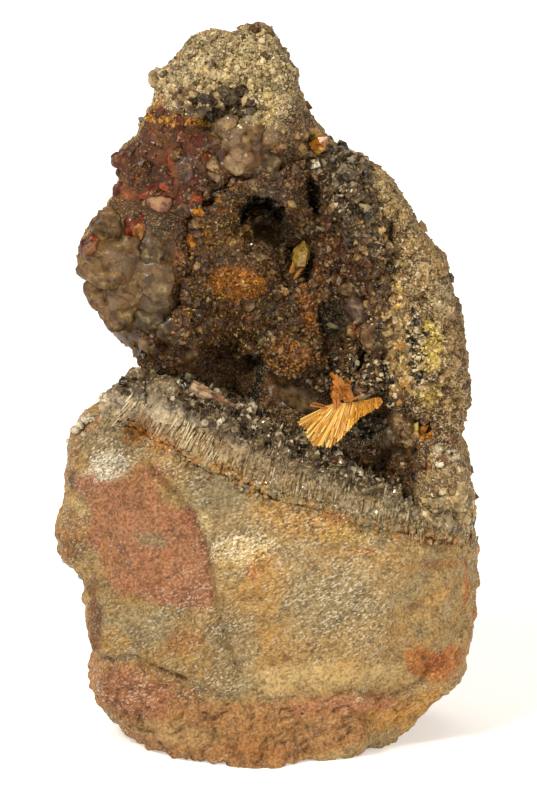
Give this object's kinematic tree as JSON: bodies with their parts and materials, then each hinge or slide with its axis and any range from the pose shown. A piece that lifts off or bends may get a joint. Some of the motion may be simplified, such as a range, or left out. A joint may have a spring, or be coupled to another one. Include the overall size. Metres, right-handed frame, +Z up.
{
  "type": "mineral specimen",
  "caption": "Walpurgite sheaf on vein quartz: micaceous wall rock, a comb quartz band and vein rock with an open drusy vug.",
  "frame": {"origin": "middle of the bounding box at the surface that the specimen stands on", "axes": "+Z up, +X to the right seen from the side with the vug, +Y away from that side"},
  "size_m": [0.028, 0.0202, 0.0475],
  "materials": {
    "wall_rock": "brown-olive micaceous rock, sparkling, with rust and pink stains",
    "comb_quartz": "milky fibrous quartz with smoky ends",
    "vein_rock": "rough vein rock: cream cap, grey quartz lumps, red-brown stains",
    "vug_crust": "brown glittering druse",
    "walpurgite": "golden translucent blades",
    "pale_quartz": "pinkish pale quartz"
  },
  "bodies": {
    "root": {"wall_rock": "wall_rock", "comb_quartz": "comb_quartz", "vein_rock": "vein_rock", "vug_crust": "vug_crust", "walpurgite_sheaf": "walpurgite", "yellow_crystal_vug": "walpurgite", "yellow_crystal_rim": "walpurgite", "yellow_crystal_foot": "walpurgite", "splinter_quartz": "pale_quartz"}
  },
  "joints": []
}
